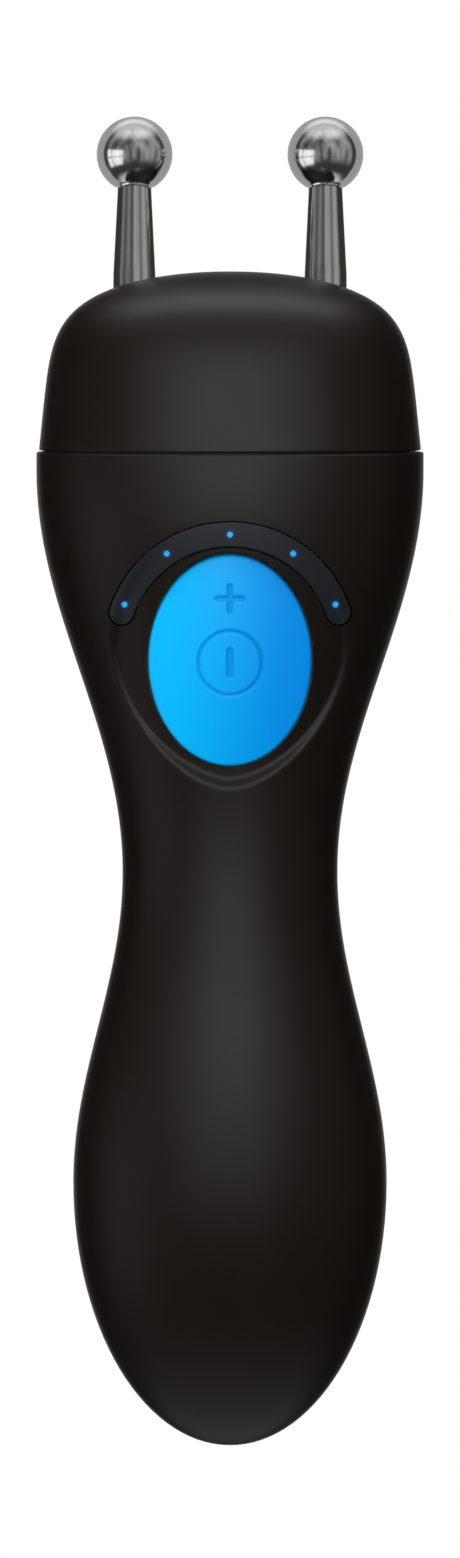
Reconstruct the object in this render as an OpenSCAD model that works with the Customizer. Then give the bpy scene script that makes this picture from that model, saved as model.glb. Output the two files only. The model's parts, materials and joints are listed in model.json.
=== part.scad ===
// Facial toning device: a hand-held wand with two ball-ended contact probes.
// It stands upright with its controls towards -Y and its probes up.
// The origin is the centre of the waist.

/* [Body outline] */
// Height of the rounded tail below the widest level of the grip
tail_h = 34; // [32:0.5:37]
// Height from the widest level of the grip up to the waist
grip_h = 40; // [39:0.5:44]
// Height from the waist up to where the head is widest
neck_h = 52; // [50:0.5:56]
// Height of the upright band between there and the seam
band_h = 2.2; // [1.8:0.1:4]
// Height of the head cap above the seam
cap_h = 23.4; // [22:0.1:26]
// Width of the grip
grip_w = 40.4; // [39.5:0.1:44]
// Width of the waist
waist_w = 27.7; // [27:0.1:30]
// Width of the head
head_w = 50; // [48:0.1:54]
// Depth of the grip, front to back
grip_d = 31; // [30:0.1:35]
// Depth of the waist
waist_d = 24; // [23.5:0.1:27]
// Depth of the head
head_d = 39; // [38:0.1:43]
// Fullness of the cross-section: 2 is an ellipse, more is squarer
fullness = 2.5; // [2.3:0.05:2.8]
// How far back the crown leans from the straight part of the body
back_lean = 7.4; // [5:0.1:9]
// Depth of that straight part below the waist
lean_below = 22; // [18:0.5:26]

/* [Walls and seam] */
// Thickness of the moulded walls
wall = 2; // [1.6:0.1:2.4]
// How far the cap stands in from the body at the seam
cap_step = 0.3; // [0.1:0.05:0.6]
// Draft of the cap, in millimetres of half width for each millimetre up
cap_draft = 0.1; // [0.05:0.01:0.14]
// Squareness of the crown in side view
crown_power = 6; // [5:0.1:7]
// Open height of the seam
seam_gap = 0.25; // [0.15:0.05:0.4]
// How far the seam drops from the sides to the front
seam_drop = 0.8; // [0:0.1:1.2]
// Depth of the cap's lip inside the body
lip_h = 3; // [2:0.1:4]
// Thickness of the lip
lip_t = 1.2; // [1:0.1:1.6]
// Clearance between parts that slide into one another
slip = 0.15; // [0.1:0.01:0.2]

/* [Controls] */
// Height of the button's centre above the waist
button_z = 27.2; // [26:0.1:28.5]
// Width of the button
button_w = 20.9; // [19:0.1:22]
// Height of the button
button_h = 27.2; // [25:0.1:28]
// How far the button travels when pressed
button_travel = 0.5; // [0.3:0.05:0.6]
// Gap round the button
button_gap = 0.25; // [0.15:0.05:0.4]
// Height of the light arc's centre above the button's centre
arc_up = 1.3; // [1:0.1:2]
// Radius of the arc's middle line
arc_r = 14.7; // [14.5:0.1:15.2]
// Width of the arc window
arc_w = 3.5; // [2.8:0.1:3.6]
// Angle of each end of the arc above level
arc_start = 19; // [12:1:24]
// Number of lights along the arc
lights = 5; // [3:1:7]
// Angle between two lights
light_step = 33.4; // [20:0.2:34]
// Width of the dish round the controls
dish_w = 31.4; // [30:0.2:34]
// Height of the dish
dish_h = 37.6; // [36:0.2:40]
// Depth of the dish at its lower edge
dish_depth = 0.8; // [0.4:0.05:1]
// Fullness of the dish's outline: 1 is a diamond, 2 is an ellipse
dish_power = 1.7; // [1.6:0.05:2]
// Thickness of the circuit board
board_t = 1.2; // [1:0.1:1.6]
// Width of the circuit board
board_w = 24; // [22:0.5:24.5]

/* [Probes] */
// Diameter of the contact balls
ball_d = 10; // [9:0.1:11]
// Distance between the centres of the balls
ball_apart = 24.8; // [22:0.1:27]
// Height of the balls' centres above the crown
ball_up = 15.5; // [13:0.1:18]
// Diameter of a stem at its ball
stem_top_d = 4.4; // [3.8:0.05:4.6]
// Diameter of a stem at the cap
stem_base_d = 5.5; // [5:0.05:5.8]
// How far the probes lean back, in degrees
probe_lean = 16; // [12:0.5:18]
// Distance of the probes behind the crown
probe_back = 4; // [3.4:0.1:5]

/* [Batteries] */
// Diameter of a cell
cell_d = 10.5; // [10:0.1:10.5]
// Length of a cell with its button
cell_l = 44.5; // [43:0.5:44.5]
// Room between a cell's flat end and its plate, filled by the spring
spring_room = 4.2; // [3.5:0.1:4.4]
// Distance of the cells' upper ends below the waist
bay_below = 12.5; // [12:0.1:13.5]
// Distance of the cover's upper edge below the waist
cover_below = 16; // [15:0.1:17]
// Front face of the cover, behind the origin
cover_y = 3.5; // [3.3:0.05:3.8]
// Gap round the battery cover
cover_gap = 0.1; // [0.06:0.02:0.2]

/* [Hidden] */
z_wide = -grip_h;
z_tail = z_wide - tail_h;
z_seam = neck_h + band_h;
z_top = z_seam + cap_h;
half_w = [grip_w, waist_w, head_w] / 2;
half_d = [grip_d, waist_d, head_d] / 2;
// Rings of the tail and the crown, and the steps between levels on the front and the back
tail_rings = 8;
cap_rings = 9;
front_step = 2.4;
back_step = 4;
// Widths over which the dish's edge rounds off and the seam's drop fades
dish_edge = 0.2;
seam_fade = 14;
dish_z = button_z + 2;
arc_z = button_z + arc_up;

// Depths behind the front wall, each counted from the seat of the button's flange
seat_y = front_y(0, button_z - button_h / 2, wall) + dish_depth + 0.6;
collar_t = 1.3;
flange_t = 1;
flange_out = 1.1;
flange_y = seat_y + 0.05;
plunger_out = 0.9;
plunger_d = 3.4;
switch_w = 6;
switch_h = 3;
plunger_y = flange_y + flange_t;
switch_y = plunger_y + plunger_out;
board_y = switch_y + switch_h;
board_back = board_y + board_t;
board_low = 1.5;
board_high = z_seam - lip_h - 1.2;

// Foremost depth of the button, and the half sizes and tilt of its crowned face
face_y = front_y(0, button_z, 0) + dish_depth / 2 - 0.7;
crown = [29, 20, 44];
crown_tilt = 7;
button_wall = 1.4;
button_post_d = 5;

// Parts on the board
led_w = 1.6;
led_h = 0.7;
guide_d = 1.6;
chip_w = 7;
chip_t = 1.2;
leg_out = 0.9;
leg_w = 0.4;
leg_pitch = 1;
core_w = 10;
core_h = 7.5;
core_t = 1.5;
core_apart = 6.5;
limb_w = 3.2;
coil_d = 9;
coil_h = 6.2;
can_d = 5;
can_h = 6;
can_foot = 0.4;
buzzer_d = 9;
buzzer_h = 4.2;
sound_hole_d = 1.6;
wire_r = 0.6;

// Screws, as [x, z] of each pair's right one
screw_d = 2;
screw_head_d = 3.8;
post_d = 4.4;
boss_d = 5.4;
skin_left = 0.7;
board_posts = [[8, board_low + 4.6], [board_w / 2 - 2.2, board_high - 2.4]];
shell_posts = [[6.6, -6], [(board_w + boss_d) / 2 + 0.8, z_seam - 10.2]];

// The battery bay
cell_x = cell_d / 2 + 0.15;
cell_y = 2;
plate_t = 0.4;
bay_high = -bay_below;
bay_low = bay_high - cell_l - spring_room - 2 * plate_t;
bay_wall = 1.2;
tray_side = cell_x + cell_d / 2 + 0.7;
tray_y = cell_y - cell_d / 2 - 0.65;
rail_low = bay_low + 12;
rail_high = bay_high - 17;
rail_t = 0.8;
rail_y = cover_y + 2.4;
rail_out = tray_side + rail_t;
leg_in = rail_out + 0.25;
cover_top = -cover_below;
// Depth at which the legs of the cover's hooks end inside its wall
hook_top = back_y(leg_in + rail_t, rail_high, wall / 2);
nub_d = 3.8;
nub_h = 1;
spring_top_r = 2;
spring_base_r = 3.4;
spring_wire_r = 0.28;

// The probes: the leaning axis starts where it leaves the crown
probe_x = ball_apart / 2;
crown_share = norm([probe_x / (half_w[2] - 2.5), probe_back / (half_d[2] - 2.5)]);
probe_z = z_seam + cap_h * pow(1 - pow(crown_share, 2), 1 / crown_power);
probe_y = centre(z_top) + probe_back;
ball_at = (z_top + ball_up - probe_z) / cos(probe_lean);
// Distance of a stem's flat top below the ball's centre
seat_drop = sqrt(pow(ball_d / 2, 2) - pow(stem_top_d / 2, 2));
// Depths of the shoulder and of the boss below the crown, along the axis
shoulder = 5;
boss_low = 7.6;
probe_boss_d = 8.4;
stud_d = 3;
stud_l = 3.6;
spigot_up = 0.4;
groove_up = -2.6;
groove_w = 1;
groove_t = 0.8;
terminal_d = 6;
terminal_t = 0.45;
tag_w = 2;
tag_l = 5.5;
nut_w = 6.2;
nut_h = 2.35;

black = [0.1, 0.1, 0.1];
chrome = [0.75, 0.76, 0.78];

// Smooth run from 0 to 1, level at both ends and held beyond them
function ease(t) = (1 - cos(180 * max(0, min(1, t)))) / 2;

// Half size at level z of the outline moved inwards by inset;
// h holds the half sizes at the grip, the waist and the head
function reach(z, h, inset) =
    z <= z_wide ? (h[0] - inset) * sqrt(max(0, 1 - pow((z_wide - z) / (tail_h - inset), 2)))
    : z <= 0 ? h[0] + (h[1] - h[0]) * ease((z - z_wide) / grip_h) - inset
    : z <= z_seam ? h[1] + (h[2] - h[1]) * ease(z / neck_h) - inset
    : (h[2] - cap_step - cap_draft * (z - z_seam) - inset)
        * sqrt(max(0, 1 - pow((z - z_seam) / (cap_h - inset), crown_power)));

// Centre line of the body, which leans back towards both ends
function centre(z) = back_lean * pow((z + lean_below) / (z_top + lean_below), 2);

// Depth of the dish round the controls, full at its lower edge and fading out upwards
function dish(x, z) =
    let (r = pow(pow(abs(2 * x / dish_w), dish_power)
        + pow(abs(2 * (z - dish_z) / dish_h), dish_power), 1 / dish_power))
    dish_depth * (1 - ease((r - 1 + dish_edge) / dish_edge))
        * (1 - ease((z - dish_z) / (dish_h / 2)));

// Front surface at x and z, moved inwards by inset
function front_y(x, z, inset) =
    centre(z) + dish(x, z) - reach(z, half_d, inset)
        * pow(1 - pow(abs(x) / reach(z, half_w, inset), fullness), 1 / fullness);

// Back surface at x and z, moved inwards by inset
function back_y(x, z, inset) =
    centre(z) + reach(z, half_d, inset)
        * pow(1 - pow(abs(x) / reach(z, half_w, inset), fullness), 1 / fullness);

// Depths at which a post of diameter d is rooted in the front and in the back wall,
// skin_left short of the outer face
function root_front(x, z, d) =
    let (side = x + d / 2)
    max(front_y(side, z - d / 2, 0), front_y(side, z + d / 2, 0)) + skin_left;
function root_back(x, z, d) =
    let (side = x + d / 2)
    min(back_y(side, z - d / 2, 0), back_y(side, z + d / 2, 0)) - skin_left;

// Half width of the hollow at depth y and level z
function room(y, z) =
    reach(z, half_w, wall)
        * pow(1 - pow(abs(y - centre(z)) / reach(z, half_d, wall), fullness), 1 / fullness);

// A sine or cosine bent to the fullness of the section
function bulge(v) = sign(v) * pow(abs(v), 2 / fullness);

// Point of the wall at level z and turn t, counted from +X towards the back
function wall_point(z, t, inset) =
    let (x = reach(z, half_w, inset) * bulge(cos(t)),
         dy = reach(z, half_d, inset) * bulge(sin(t)),
         near_seam = max(0, 1 - abs(z - z_seam) / seam_fade))
    [x,
     centre(z) + dy + (dy < 0 ? dish(x, z) : 0),
     z + seam_drop * near_seam * dy / half_d[2]];

function half_turns(start, n) = [for (j = [0 : n]) start + 180 * j / n];
function full_turns(n) = [for (j = [0 : n - 1]) -360 * j / n];

// Rows from the tail's tip up to the seam
function body_rows(outer, inner, step) = concat(
    [for (k = [0 : tail_rings])
        let (f = cos(90 * k / tail_rings))
        [z_wide - (tail_h - outer) * f, outer, z_wide - (tail_h - inner) * f, inner]],
    [for (k = [1 : round(grip_h / 4)])
        let (z = z_wide + k * grip_h / round(grip_h / 4))
        [z, outer, z, inner]],
    [for (k = [1 : round(z_seam / step)])
        let (z = z_seam * k / round(z_seam / step))
        [z, outer, z, inner]]);

// Rows from the crown's top down to the seam
function crown_rows(outer, inner) = [for (k = [0 : cap_rings])
    let (f = pow(max(0, cos(90 * k / cap_rings)), 2 / crown_power))
    [z_seam + max(seam_gap, (cap_h - outer) * f), outer,
     z_seam + max(seam_gap, (cap_h - inner) * f), inner]];

// Rows between two levels, for a patch of wall
function patch_rows(low, high, outer, inner, n) = [for (k = [0 : n])
    let (z = low + (high - low) * k / n)
    [z, outer, z, inner]];

// A wall between two skins. Each row is [outer z, outer inset, inner z, inner inset].
// A pole makes the first row one point. A ring closes on itself, and any other wall gets rims.
module skin(rows, turns, ring = false, pole = true) {
    cols = len(turns);
    last_row = len(rows) - 1;
    last_span = ring ? cols - 1 : cols - 2;
    first = pole ? 1 : cols;
    side = first + last_row * cols;
    function at(i, j) =
        i == 0 ? (pole ? 0 : j % cols) : first + (i - 1) * cols + j % cols;
    function face(k) = [for (i = [0 : last_row], j = [0 : (pole && i == 0 ? 0 : cols - 1)])
        wall_point(rows[i][k], turns[j], rows[i][k + 1])];
    function strip(p, q, back) = back
        ? [[p, q, side + q], [p, side + q, side + p]]
        : [[p, side + q, q], [p, side + p, side + q]];
    sheets = [for (i = [0 : last_row - 1], j = [0 : last_span])
        let (a = at(i, j), b = at(i, j + 1), c = at(i + 1, j + 1), d = at(i + 1, j))
        each concat(
            [[a, d, c], [side + a, side + c, side + d]],
            pole && i == 0 ? [] : [[a, c, b], [side + a, side + b, side + c]])];
    ends = [for (j = [0 : last_span]) each concat(
        strip(at(last_row, j), at(last_row, j + 1), false),
        pole ? [] : strip(at(0, j), at(0, j + 1), true))];
    edges = ring ? [] : [for (i = [0 : last_row - 1]) each concat(
        strip(at(i, 0), at(i + 1, 0), false),
        strip(at(i, cols - 1), at(i + 1, cols - 1), true))];
    polyhedron(points = concat(face(0), face(2)), faces = concat(sheets, ends, edges));
}

// A round bar swept along a path of points, flat at both ends
module bar_along(path, r, sides) {
    n = len(path);
    function unit(v) = v / norm(v);
    function run(i) = unit(path[min(n - 1, i + 1)] - path[max(0, i - 1)]);
    rings = [for (i = [0 : n - 1])
        let (u = unit(cross(run(i), [0.31, 1, 0.17])), v = cross(run(i), u))
        each [for (k = [0 : sides - 1])
            path[i] + r * (u * cos(360 * k / sides) + v * sin(360 * k / sides))]];
    walls = [for (i = [0 : n - 2], k = [0 : sides - 1])
        let (a = i * sides + k, b = i * sides + (k + 1) % sides)
        each [[a, b + sides, b], [a, a + sides, b + sides]]];
    ends = [[for (k = [0 : sides - 1]) k],
            [for (k = [sides - 1 : -1 : 0]) (n - 1) * sides + k]];
    polyhedron(points = rings, faces = concat(walls, ends));
}

// Points of a smooth curve that leaves p along dp and reaches q along dq
function curve(p, dp, q, dq, n) = [for (k = [0 : n])
    let (t = k / n)
    pow(1 - t, 3) * p + 3 * t * pow(1 - t, 2) * (p + dp)
        + 3 * pow(t, 2) * (1 - t) * (q - dq) + pow(t, 3) * q];

// Places something at x and z, pointing towards the front, from depth y
module facing(x, y, z) { translate([x, y, z]) rotate([90, 0, 0]) children(); }

// A rod along Y, from the depth near to the depth far
module rod(x, z, near, far, d) { facing(x, far, z) cylinder(d = d, h = far - near, $fn = 40); }

// Draws its children on the right and mirrored on the left
module each_side() {
    children();
    mirror([1, 0, 0]) children();
}

// An upright oval as large as the button and out millimetres more, between two depths
module oval(out, near, far) {
    facing(0, far, button_z) linear_extrude(far - near)
        scale([button_w / 2 + out, button_h / 2 + out]) circle(1, $fn = 96);
}

// The arc of the lights, out millimetres larger all round, between two depths
module arc(out, near, far) {
    facing(0, far, arc_z) {
        rotate([0, 0, arc_start]) rotate_extrude(angle = 180 - 2 * arc_start, $fn = 120)
            translate([arc_r - arc_w / 2 - out, 0]) square([arc_w + 2 * out, far - near]);
        for (a = [arc_start, 180 - arc_start]) rotate([0, 0, a]) translate([arc_r, 0, 0])
            cylinder(d = arc_w + 2 * out, h = far - near, $fn = 48);
    }
}

function light_x(i) = arc_r * sin((i - (lights - 1) / 2) * light_step);
function light_z(i) = arc_z + arc_r * cos((i - (lights - 1) / 2) * light_step);

// Puts its children on a probe's axis, with z = 0 where the axis leaves the crown
module on_probe(s) {
    translate([s * probe_x, probe_y, probe_z]) rotate([-probe_lean, 0, 0]) children();
}

// Front half of the body, with the dish, the button's collar, the arc's slot and the posts
module front_shell() {
    front = -head_d;
    color(black) difference() {
        union() {
            skin(body_rows(0, wall, front_step), half_turns(180, 24));
            intersection() {
                skin(patch_rows(board_low, neck_h, wall / 2, 8, 14),
                    [for (j = [0 : 12]) 210 + 10 * j], pole = false);
                difference() {
                    oval(button_gap + collar_t, front, seat_y);
                    oval(button_gap, front - 1, seat_y + 1);
                }
            }
            each_side() {
                for (p = board_posts) rod(p[0], p[1], root_front(p[0], p[1], post_d), board_y, post_d);
                for (p = shell_posts)
                    rod(p[0], p[1], root_front(p[0], p[1], boss_d), centre(p[1]) - 0.1, boss_d);
                for (z = [bay_low + 8, bay_high - 8])
                    rod(cell_x, z, root_front(cell_x, z, post_d), tray_y, post_d);
            }
        }
        oval(button_gap, front, seat_y + 1);
        arc(0, front, board_y - 1);
        each_side() {
            for (p = board_posts) rod(p[0], p[1], board_y - 4, board_y + 1, screw_d + 0.1);
            for (p = shell_posts) rod(p[0], p[1], -6, 6, screw_d + 0.1);
        }
    }
}

// Rear half of the body, open where the battery cover goes, with the pockets of its screws
module rear_shell() {
    back = head_d;
    color(black) difference() {
        union() {
            skin(body_rows(0, wall, back_step), half_turns(0, 16));
            each_side() for (p = shell_posts)
                rod(p[0], p[1], centre(p[1]) + 0.1, root_back(p[0], p[1], boss_d), boss_d);
        }
        translate([-grip_w, cover_y, z_tail - 1])
            cube([2 * grip_w, back, cover_top - z_tail + 1]);
        each_side() for (p = shell_posts) {
            rod(p[0], p[1], -2, back, screw_d + 0.5);
            rod(p[0], p[1], screw_seat(p[1]), back, screw_head_d + 0.5);
        }
    }
}

// Depth of the seat under a body screw's head at level z
function screw_seat(z) = centre(z) + reach(z, half_d, wall) * 0.55;

// Dome over the head, with a lip that plugs into the body and a boss for each probe
module head_cap() {
    lip_in = wall + slip;
    color(black) difference() {
        union() {
            skin(crown_rows(0, wall), full_turns(40), ring = true);
            skin([[z_seam + 5, wall - 0.4, z_seam + 5, lip_in + lip_t],
                  [z_seam + 1.4, wall - 0.4, z_seam + 1.4, lip_in + lip_t],
                  [z_seam + 0.6, lip_in, z_seam + 0.6, lip_in + lip_t],
                  [z_seam - lip_h, lip_in, z_seam - lip_h, lip_in + lip_t]],
                full_turns(40), ring = true, pole = false);
            for (s = [-1, 1]) on_probe(s) translate([0, 0, -boss_low])
                cylinder(d = probe_boss_d, h = boss_low - 1.6, $fn = 48);
        }
        for (s = [-1, 1]) on_probe(s) {
            translate([0, 0, -shoulder]) cylinder(d = stem_base_d + 0.1, h = shoulder + 8, $fn = 48);
            translate([0, 0, -boss_low - 1]) cylinder(d = stud_d + 0.2, h = boss_low, $fn = 48);
        }
    }
}

// Soft ring that fills the seam
module seam_gasket() {
    color([0.09, 0.08, 0.07])
        skin([[z_seam + seam_gap - 0.03, 0.6, z_seam + seam_gap - 0.03, wall - 0.3],
              [z_seam + 0.03, 0.6, z_seam + 0.03, wall - 0.3]],
            full_turns(40), ring = true, pole = false);
}

// Sliding cover over the batteries, with hooks under the tray's rails and a tongue under the shell
module battery_cover() {
    hook_in = tray_side + 0.3;
    under = wall + slip + 0.1;
    color(black) {
        intersection() {
            skin(body_rows(0, wall, back_step), half_turns(0, 16));
            translate([-grip_w, cover_y + cover_gap, z_tail - 1])
                cube([2 * grip_w, head_d, cover_top - cover_gap - z_tail + 1]);
        }
        skin([[cover_top + 4, under, cover_top + 4, under + 1],
              [cover_top - 0.4, under, cover_top - 0.4, under + 1],
              [cover_top - 1, wall - 0.4, cover_top - 1, under + 1],
              [cover_top - 3, wall - 0.4, cover_top - 3, under + 1]],
            [for (j = [0 : 4]) 120 - 15 * j], pole = false);
        each_side() translate([0, 0, rail_low]) linear_extrude(rail_high - rail_low) polygon([
            [hook_in, rail_y - 2 * rail_t - 0.3], [leg_in + rail_t, rail_y - 2 * rail_t - 0.3],
            [leg_in + rail_t, hook_top], [leg_in, hook_top],
            [leg_in, rail_y - rail_t - 0.3], [hook_in, rail_y - rail_t - 0.3]]);
    }
}

// One oval button, domed in front, with a skirt, a flange behind the collar and a centre post
module button_cap() {
    color([0, 0.6, 0.96]) {
        difference() {
            intersection() {
                oval(0, -head_d, flange_y + 0.2);
                button_dome(0);
            }
            intersection() {
                oval(-button_wall, -head_d, plunger_y);
                button_dome(button_wall);
            }
        }
        difference() {
            oval(flange_out, flange_y, plunger_y);
            oval(-button_wall, flange_y - 1, plunger_y + 1);
        }
        rod(0, button_z, face_y + 1, plunger_y, button_post_d);
    }
}

// The crowned face of the button as a wide flat ellipsoid, back millimetres deeper
module button_dome(back) {
    translate([0, face_y + crown[1] + back, button_z]) rotate([crown_tilt, 0, 0])
        scale(crown) sphere(1, $fn = 120);
}

// Plunger of the push switch, which moves with the button
module switch_plunger() {
    color([0.85, 0.82, 0.7]) rod(0, button_z, plunger_y, switch_y + 1.2, plunger_d);
}

module switch_body() {
    color([0.2, 0.2, 0.22]) difference() {
        facing(-switch_w / 2, board_y, button_z - switch_w / 2) cube([switch_w, switch_w, switch_h]);
        rod(0, button_z, switch_y - 1, switch_y + 1.2 + button_travel + 0.1, plunger_d + 0.1);
    }
}

// Smoked strip flush with the shell, stepped behind it
module indicator_window() {
    low = arc_z + 1;
    high = neck_h - 3;
    turns = [for (j = [0 : 14]) 200 + 10 * j];
    color([0.13, 0.14, 0.16]) {
        intersection() {
            arc(-0.12, -head_d, 0);
            skin(patch_rows(low, high, 0.12, wall + 0.6, 8), turns, pole = false);
        }
        intersection() {
            difference() {
                arc(0.7, -head_d, 0);
                rod(0, arc_z, -head_d - 1, 1, 2 * arc_r);
            }
            skin(patch_rows(low, high, wall + 0.25, wall + 1.1, 8), turns, pole = false);
        }
    }
}

// Clear rods that carry the light to the window, on a common bar
module light_guides() {
    bar_y = board_y - led_h - 0.1;
    color([0.8, 0.9, 1, 0.6]) {
        for (i = [0 : lights - 1])
            rod(light_x(i), light_z(i), front_y(light_x(i), light_z(i), wall + 1.1) + 0.6, bar_y,
                guide_d);
        arc(-1, bar_y - 1, bar_y);
    }
}

module leds() {
    color([0.9, 0.95, 1]) for (i = [0 : lights - 1])
        facing(light_x(i), board_y, light_z(i))
            translate([-led_w / 2, -led_w / 4, 0]) cube([led_w, led_w / 2, led_h]);
}

// Board that narrows with the body
module circuit_board() {
    n = 10;
    levels = [for (k = [0 : n]) board_low + (board_high - board_low) * k / n];
    function edge(z) = min(board_w / 2, room(board_y, z) - 0.6);
    color([0.08, 0.3, 0.16]) difference() {
        facing(0, board_back, 0) linear_extrude(board_t) polygon(concat(
            [for (z = levels) [edge(z), z]],
            [for (k = [n : -1 : 0]) [-edge(levels[k]), levels[k]]]));
        each_side() for (p = board_posts) rod(p[0], p[1], board_y - 1, board_back + 1, screw_d + 0.3);
    }
}

// A screw along Y with its tip in front: a pan head with a slot
module screw(x, z, tip, seat) {
    difference() {
        union() {
            rod(x, z, tip, seat + 0.1, screw_d);
            rod(x, z, seat, seat + 1.4, screw_head_d);
        }
        translate([x - 0.3, seat + 0.8, z - screw_head_d]) cube([0.6, 1, 2 * screw_head_d]);
    }
}

module board_screws() {
    color(chrome) each_side() for (p = board_posts) screw(p[0], p[1], board_y - 3.6, board_back);
}

module shell_screws() {
    color(chrome) each_side() for (p = shell_posts) screw(p[0], p[1], -5.5, screw_seat(p[1]));
}

// Square package with a row of legs on each of two sides
module controller_chip() {
    chip_z = button_z + 7.5;
    color([0.12, 0.12, 0.13]) {
        translate([-chip_w / 2, board_back + 0.1, chip_z - chip_w / 2])
            cube([chip_w, chip_t, chip_w]);
        each_side() for (k = [-3 : 3])
            translate([chip_w / 2 - 0.1, board_back, chip_z + k * leg_pitch - leg_w / 2])
                cube([leg_out, leg_w, leg_w]);
    }
}

// Step-up transformer: two core plates and a limb round which the coil is wound
module transformer() {
    mid = board_low + 11.5;
    color([0.25, 0.22, 0.2]) {
        for (z = [mid - core_apart / 2, mid + core_apart / 2])
            translate([-core_w / 2, board_back, z - core_t / 2]) cube([core_w, core_h, core_t]);
        translate([-limb_w / 2, board_back + 0.4, mid - core_apart / 2])
            cube([limb_w, core_h - 0.9, core_apart]);
    }
    color([0.72, 0.42, 0.2]) translate([0, board_back + 0.6, mid]) rotate([-90, 0, 0])
        intersection() {
            cylinder(d = coil_d, h = coil_h, $fn = 48);
            translate([-coil_d, 0.2 - (core_apart - core_t) / 2, 0])
                cube([2 * coil_d, core_apart - core_t - 0.4, coil_h]);
        }
}

// Upright round capacitors, each with a wider foot
module capacitors() {
    color([0.1, 0.12, 0.3]) each_side()
        translate([(core_w + can_d + can_foot) / 2 + 1.5, board_back, board_low + 13])
            rotate([-90, 0, 0]) {
                cylinder(d = can_d, h = can_h, $fn = 40);
                cylinder(d = can_d + can_foot, h = 2 * can_foot, $fn = 40);
            }
}

module buzzer() {
    color(black) translate([0, board_back, board_high - buzzer_d / 2 - 1.5]) rotate([-90, 0, 0])
        difference() {
            cylinder(d = buzzer_d, h = buzzer_h, $fn = 48);
            translate([0, 0, buzzer_h - 1.2]) cylinder(d = sound_hole_d, h = 2, $fn = 24);
        }
}

// Cradle for two cells, with end walls and a pair of rails for the cover
module battery_tray() {
    low = bay_low - bay_wall;
    tall = bay_high + bay_wall - low;
    corner = 1.6;
    color([0.16, 0.16, 0.17]) difference() {
        union() {
            translate([0, 0, low]) linear_extrude(tall) difference() {
                polygon([[-tray_side, cell_y - 3], [corner - tray_side, tray_y],
                    [tray_side - corner, tray_y], [tray_side, cell_y - 3],
                    [tray_side, cell_y], [-tray_side, cell_y]]);
                for (s = [-1, 1])
                    translate([s * cell_x, cell_y]) circle(d = cell_d + 0.1, $fn = 64);
            }
            for (z = [low, bay_high]) translate([corner - tray_side, tray_y, z])
                cube([2 * (tray_side - corner), 9, bay_wall]);
            each_side() translate([0, 0, rail_low]) linear_extrude(rail_high - rail_low) polygon([
                [tray_side - 0.6, cell_y - 3], [tray_side, cell_y - 3],
                [tray_side, rail_y - rail_t], [rail_out, rail_y - rail_t],
                [rail_out, rail_y], [tray_side - 0.6, rail_y]]);
        }
        for (z = [bay_low, bay_high - plate_t - 0.05])
            translate([-tray_side + 1.9, cell_y - 4.1, z])
                cube([2 * tray_side - 3.8, 8.2, plate_t + 0.05]);
    }
}

// A cell between its plate and its spring; up is 1 when its button points up
module cell(up) {
    flat_end = up > 0 ? bay_low + plate_t + spring_room : bay_high - plate_t - spring_room;
    translate([up * cell_x, cell_y, flat_end]) rotate([up > 0 ? 0 : 180, 0, 0]) {
        cylinder(d = cell_d, h = cell_l - nub_h, $fn = 64);
        cylinder(d = nub_d, h = cell_l, $fn = 40);
    }
}
module cell_left() { color([0.55, 0.57, 0.6]) cell(-1); }
module cell_right() { color([0.55, 0.57, 0.6]) cell(1); }

// Conical coils that press on the cells' flat ends
module battery_springs() {
    coils = 3;
    per_turn = 10;
    color(chrome) for (up = [-1, 1])
        translate([up * cell_x, cell_y, up > 0 ? bay_low + plate_t : bay_high - plate_t])
            rotate([up > 0 ? 0 : 180, 0, 0]) bar_along([for (k = [0 : coils * per_turn])
                let (t = k / (coils * per_turn),
                     r = spring_base_r + (spring_top_r - spring_base_r) * t)
                [r * cos(360 * k / per_turn), r * sin(360 * k / per_turn),
                 0.3 + (spring_room - 0.6) * t]], spring_wire_r, 6);
}

// One plate across the lower ends of both cells, and one with a tag for each upper end
module contact_plates() {
    color(chrome) {
        translate([-tray_side + 2, cell_y - 4, bay_low]) cube([2 * tray_side - 4, 8, plate_t]);
        each_side() {
            translate([cell_x - 3.8, cell_y - 4, bay_high - plate_t]) cube([7.6, 8, plate_t]);
            translate([cell_x - 3.7, cell_y + 3.6, bay_high - plate_t]) cube([1.6, plate_t, 4]);
        }
    }
}

// Leads from the tags to the board's lower end
module battery_leads() {
    for (s = [-1, 1]) color(s > 0 ? [0.7, 0.1, 0.1] : black)
        bar_along(curve([s * (cell_x - 2.9), cell_y + 2.9, bay_high + bay_wall + 0.3], [0, 0, 5],
            [s * 4.4, board_back + 0.7, board_low + 4], [0, 0, 5], 10), wire_r, 8);
}

// A ball on its stem: the ball is bored to take the stem's spigot
module probe_ball(s) {
    on_probe(s) difference() {
        translate([0, 0, ball_at]) sphere(d = ball_d, $fn = 96);
        translate([0, 0, ball_at - ball_d])
            cylinder(d = stud_d + 0.04, h = ball_d + spigot_up + 0.1, $fn = 40);
        translate([0, 0, ball_at - ball_d]) cylinder(d = stem_top_d + 1, h = ball_d - seat_drop, $fn = 40);
    }
}

module probe_ball_left() { color(chrome) probe_ball(-1); }
module probe_ball_right() { color(chrome) probe_ball(1); }

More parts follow.
